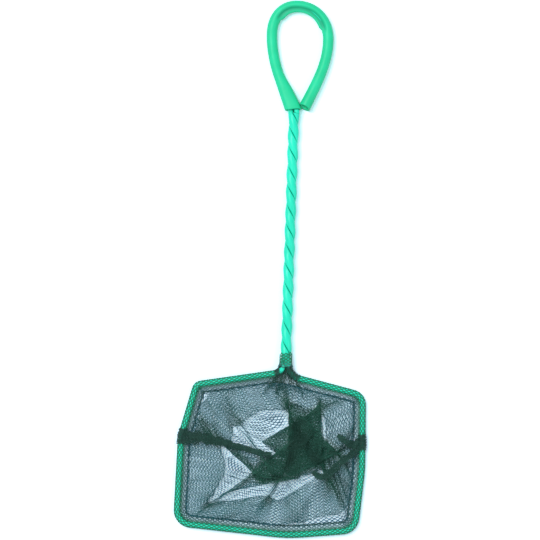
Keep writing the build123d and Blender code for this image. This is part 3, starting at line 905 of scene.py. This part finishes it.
def neck_mesh(start, stop):
    """Mesh round the foot of the twist: threads along it, evenly spaced round a circle and swinging in the
    zigzag, on a radius that swells towards the hoop."""
    radius = TWIST_RADIUS + 0.22
    count = 2 * round(np.pi * radius / HEM_PITCH)
    periods = round((stop - start) / HEM_RISE)
    steps, offsets = zigzag(count, periods, 0.5 * (TURN / count) * (1 - YARN_TOUCH / HEM_PITCH))
    angle = np.arange(count)[:, None] * TURN / count + offsets
    reach = stop - start + 0.7 * np.sin(angle + 0.6) + 0.3 * np.sin(3 * angle)
    along = start + steps / periods * reach
    swell = radius + 0.9 * np.clip(1 - (along - start) / 2.5, 0, 1) ** 2
    height = np.maximum(TWIST_Z + swell * np.sin(angle), THREAD_LOW)
    lines = np.stack([swell * np.cos(angle), along, height], -1)
    out = np.stack([np.cos(angle), 0 * angle, np.sin(angle)], -1)
    return tube_mesh(lines, out, HEM_YARN_RADIUS, 4)


def neck_fan(first, last, count, foot_low, foot_high, seed):
    """Mesh drawn together under the neck: threads from the foot of the twist that spread to places along
    the hoop and end some way inside it, waving to and fro as they go."""
    rng = np.random.default_rng(seed)
    share = (np.arange(count) + 0.5) / count
    share = np.clip(share + rng.normal(0, 0.25 / count, count), 0, 1)
    middle, inward = on_hoop(first + (last - first) * share)
    end = middle + inward * rng.uniform(5.0, 12.0, count)[:, None]
    foot_x = foot_low + (foot_high - foot_low) * share
    foot = np.stack([foot_x, np.full(count, TWIST_START_Y + 0.2)], 1)
    bend = np.stack([foot_x * 1.3, np.full(count, 42.5)], 1)
    t = np.linspace(0, 1, 60)
    flat = bow(foot[:, None], bend[:, None], end[:, None], len(t))
    side = left_of(unit(np.gradient(flat, axis=1)))
    beat = TURN * t * rng.uniform(6, 9, (count, 1)) + rng.uniform(0, TURN, (count, 1))
    flat = flat + side * (np.sin(beat) * (0.12 + 0.45 * t))[..., None]
    height = TWIST_Z + 0.9 + rng.uniform(-0.9, 0.9, (count, 1)) - 3.6 * t**0.8
    return tube_mesh(raised(flat, np.maximum(height, 0.35)), UP, 0.16, 3)


left_foot = -STRAND_RADIUS, TWIST_START_Y, TWIST_Z
right_foot = STRAND_RADIUS, TWIST_START_Y, TWIST_Z
left_leg = bow((NECK_LEFT_X, 43.05, HOOP_Z), (-1.9, 43.8, 2.3), left_foot, 30)
right_leg = bow((NECK_RIGHT_X, 40.8, HOOP_Z), (1.9, 42.4, 2.6), right_foot, 30)
neck_middle = 0.5 * (neck_left_at + neck_right_at)
for name, leg, count, seed, first, last, foot_low, foot_high in (
    ("left_neck_gather", left_leg, 24, 31, neck_left_at - 9, neck_middle, -2.9, 0.3),
    ("right_neck_gather", right_leg, 22, 32, neck_middle, neck_right_at + 8, -0.3, 2.9),
):
    rings = sleeve_turns(leg, count, seed)
    fan = neck_fan(first, last, 20, foot_low, foot_high, seed + 5)
    neck_piece = add_piece(name + "_mesh", *joined([rings, fan]), gather_yarn, "net_mesh")
    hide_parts(name)
wrap_points, wrap_quads = neck_mesh(TWIST_START_Y - 0.8, TWIST_START_Y + 6.7)
low_share = np.clip((TWIST_START_Y + 2 - wrap_points[:, 1]) / 3, 0, 1)
wrap_piece = add_piece("neck_wrap_mesh", wrap_points, wrap_quads, hem_yarn, "net_mesh", low_share)
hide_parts("neck_wrap")


# Grip sleeve
LOOP_Z = 2.83
LEG = np.array([-0.3486, 0.9373])
ACROSS = np.array([0.9373, 0.3486])
SLEEVE_MOUTH = np.array([-2.61, 183.40])
FLARE_STRAIGHT, FLARE_TAPER, STRAND_SPACING = 0.5, 17.1, 3.02
SLEEVE_OUTER, SLEEVE_INNER = 2.8, 1.6
SLEEVE_RINGS, LIP_RINGS = 300, 34
SLEEVE_CREASES = np.array([(-10.0, 229.3), (13.35, 223.9)])
SLEEVE_END = np.array([5.4, 182.9])
END_LEG = -np.array([np.sin(np.radians(24)), np.cos(np.radians(24))])


def hermite(start, start_slope, end, end_slope, count):
    """A cubic from start to end with the slopes given at both."""
    t = np.linspace(0, 1, count, endpoint=False)[:, None]
    left = (2 * t**3 - 3 * t**2 + 1) * start + (t**3 - 2 * t**2 + t) * start_slope
    return left + (3 * t**2 - 2 * t**3) * end + (t**3 - t**2) * end_slope


def sleeve_line():
    """Centre line of the sleeve: a straight flare, then cubics up the left leg, over the top and down the
    right. Also gives the length along it."""
    flare = FLARE_STRAIGHT + FLARE_TAPER
    start = SLEEVE_MOUTH + LEG * flare
    stops = np.array([start, (-12.9, 221.5), (0.0, 236.3), (16.75, 218.5), SLEEVE_END])
    slopes = np.array([LEG, (0, 1), (1, 0), (0, -1), END_LEG])
    runs = [SLEEVE_MOUTH + LEG * np.linspace(0, flare, 30, endpoint=False)[:, None]]
    for k, reach in enumerate((1.0, 1.25, 1.25, 1.05)):
        chord = np.linalg.norm(stops[k + 1] - stops[k]) * reach
        runs.append(hermite(stops[k], slopes[k] * chord, stops[k + 1], slopes[k + 1] * chord, 60))
    return evenly(np.concatenate(runs + [stops[-1:]]), SLEEVE_RINGS)


def sleeve_surface():
    """The sleeve as one closed skin: up the bore from inside the flared end, over the outside along the
    loop and back into the bore at the slanting cut. Sections are circles, widened to a slot over both
    strands at the flare. Between two creases at the top the inner side bulges towards the middle of the
    loop and a groove runs along above it. Also gives painted shade for each point, darkest in the groove."""
    line, run = sleeve_line()
    total = run[-1]
    outer = np.arange(len(line))
    index = np.r_[outer[LIP_RINGS:0:-1], outer, outer[-2 : -LIP_RINGS - 2 : -1]]
    skin_side = np.pad(np.ones(len(outer)), LIP_RINGS)[:, None]
    centre, at = line[index], run[index]
    tangent = unit(np.gradient(line, axis=0))[index]
    inside = -left_of(tangent)
    flare = np.clip(1 - (at - FLARE_STRAIGHT) / FLARE_TAPER, 0, 1)[:, None]
    flare = 0.6 * flare + 0.4 * flare * flare * (3 - 2 * flare)
    turn = np.linspace(0, TURN, 56, endpoint=False)
    cos, sin = np.cos(turn), np.sin(turn)
    radius = SLEEVE_INNER + (SLEEVE_OUTER - SLEEVE_INNER) * skin_side
    radius = radius + 0.3 * np.clip(1 - (total - at[:, None]) / 22, 0, 1)
    creases = run[np.argmin(np.linalg.norm(line[:, None] - SLEEVE_CREASES, axis=-1), axis=0)]
    between = (at[:, None] - creases[0]) / (creases[1] - creases[0])
    window = 1 / (1 + np.exp(-np.minimum(between, 1 - between) * 40))
    bulge = window * (0.5 + 0.7 * np.abs(2 * np.clip(between, 0, 1) - 1) ** 1.5)
    groove = window * np.exp(-(((turn - np.radians(58)) / np.radians(24)) ** 2))
    nip = np.exp(-((at[:, None] - creases) / 1.1) ** 2).sum(1, keepdims=True)
    slot = np.tanh(3 * cos) / np.tanh(3)
    wide = (radius - skin_side * 0.8 * groove) * cos + 0.5 * STRAND_SPACING * flare * slot
    wide = wide + skin_side * (bulge - 0.5 * nip) * np.clip(cos, 0, 1) ** 1.5
    high = (radius - skin_side * 1.6 * groove) * sin
    cut = np.clip(1 - (total - at) / 6, 0, 1)[:, None] * (0.15 * cos + 0.9 * sin)
    hang = np.clip(1 - at / 8, 0, 1)[:, None] * (2.5 + 1.3 * cos - 0.3 * sin)
    middle = centre + ACROSS * (0.5 * STRAND_SPACING * flare)
    flat = middle[:, None] + inside[:, None] * wide[..., None]
    flat = flat - tangent[:, None] * (cut + hang)[..., None]
    lift = 0.9 * np.clip((at - 0.7 * total) / (0.3 * total), 0, 1) ** 1.5 + 0.35 * flare[:, 0]
    height = np.maximum(LOOP_Z + lift[:, None] + high, 0.02)
    points = raised(flat, height).reshape(-1, 3)
    # The third result is painted shade along the groove, read by the material as the crowd value.
    return points, ring_quads((len(index), len(turn)))[:, ::-1], (0.75 * skin_side * groove).ravel()


# The sleeve carries painted shade of its groove as its crowd value.
*sleeve_skin, sleeve_groove_shade = sleeve_surface()
sleeve = add_piece("grip_sleeve_tube", *sleeve_skin, sleeve_plastic, "grip_sleeve", sleeve_groove_shade)
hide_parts("grip_sleeve")


# Stage, light and camera
def stage_floor():
    """A plain pale floor that takes the net's shadow and shows white to the camera."""
    corners = [(-3, -3), (3, -3), (3, 3), (-3, 3)]
    mesh = bpy.data.meshes.new("floor")
    mesh.from_pydata([(x, y, -0.0001) for x, y in corners], [], [(0, 1, 2, 3)])
    floor = new_object("floor", mesh)
    material, tree = new_material("pale_floor")
    tree.nodes.remove(tree.nodes["Principled BSDF"])
    mix = tree.nodes.new("ShaderNodeMixShader")
    lit, seen = (0.85, 0.88, 0.9), (1.08, 1.36, 1.54)
    for socket, colour in ((1, lit), (2, seen)):
        paint = tree.nodes.new("ShaderNodeBsdfDiffuse")
        set_inputs(paint, Color=colour)
        tree.links.new(paint.outputs["BSDF"], mix.inputs[socket])
    rays = tree.nodes.new("ShaderNodeLightPath")
    tree.links.new(rays.outputs["Is Camera Ray"], mix.inputs["Fac"])
    tree.links.new(mix.outputs["Shader"], tree.nodes["Material Output"].inputs["Surface"])
    mesh.materials.append(material)


def add_lamp(name, place, aim, size, power):
    """A square soft lamp at a place, in metres, turned to a point."""
    data = bpy.data.lights.new(name, "AREA")
    data.energy = power
    data.size = size
    lamp = new_object(name, data)
    lamp.location = place
    lamp.rotation_mode = "QUATERNION"
    lamp.rotation_quaternion = (Vector(aim) - Vector(place)).to_track_quat("-Z", "Y")


def studio():
    """Soft white light from above and all round."""
    world = bpy.data.worlds.new("studio")
    world.use_nodes = True
    sky = world.node_tree.nodes["Background"]
    set_inputs(sky, Color=(0.95, 0.99, 1.0), Strength=0.5)
    bpy.context.scene.world = world
    middle = (-0.01, 0.09, 0.0)
    add_lamp("key", (-0.45, 0.45, 1.0), middle, 0.6, 9)
    add_lamp("side", (0.7, -0.3, 0.7), middle, 0.6, 2.5)


def look_down():
    """A long lens straight above, turned as the photograph is."""
    data = bpy.data.cameras.new("camera")
    data.lens = 152
    camera = new_object("camera", data)
    camera.location = (-0.00983, 0.0972, 1.2)
    camera.rotation_euler = (0, 0, np.radians(1.9))
    bpy.context.scene.camera = camera


stage_floor()
studio()
look_down()
bpy.context.scene.view_settings.view_transform = "Standard"
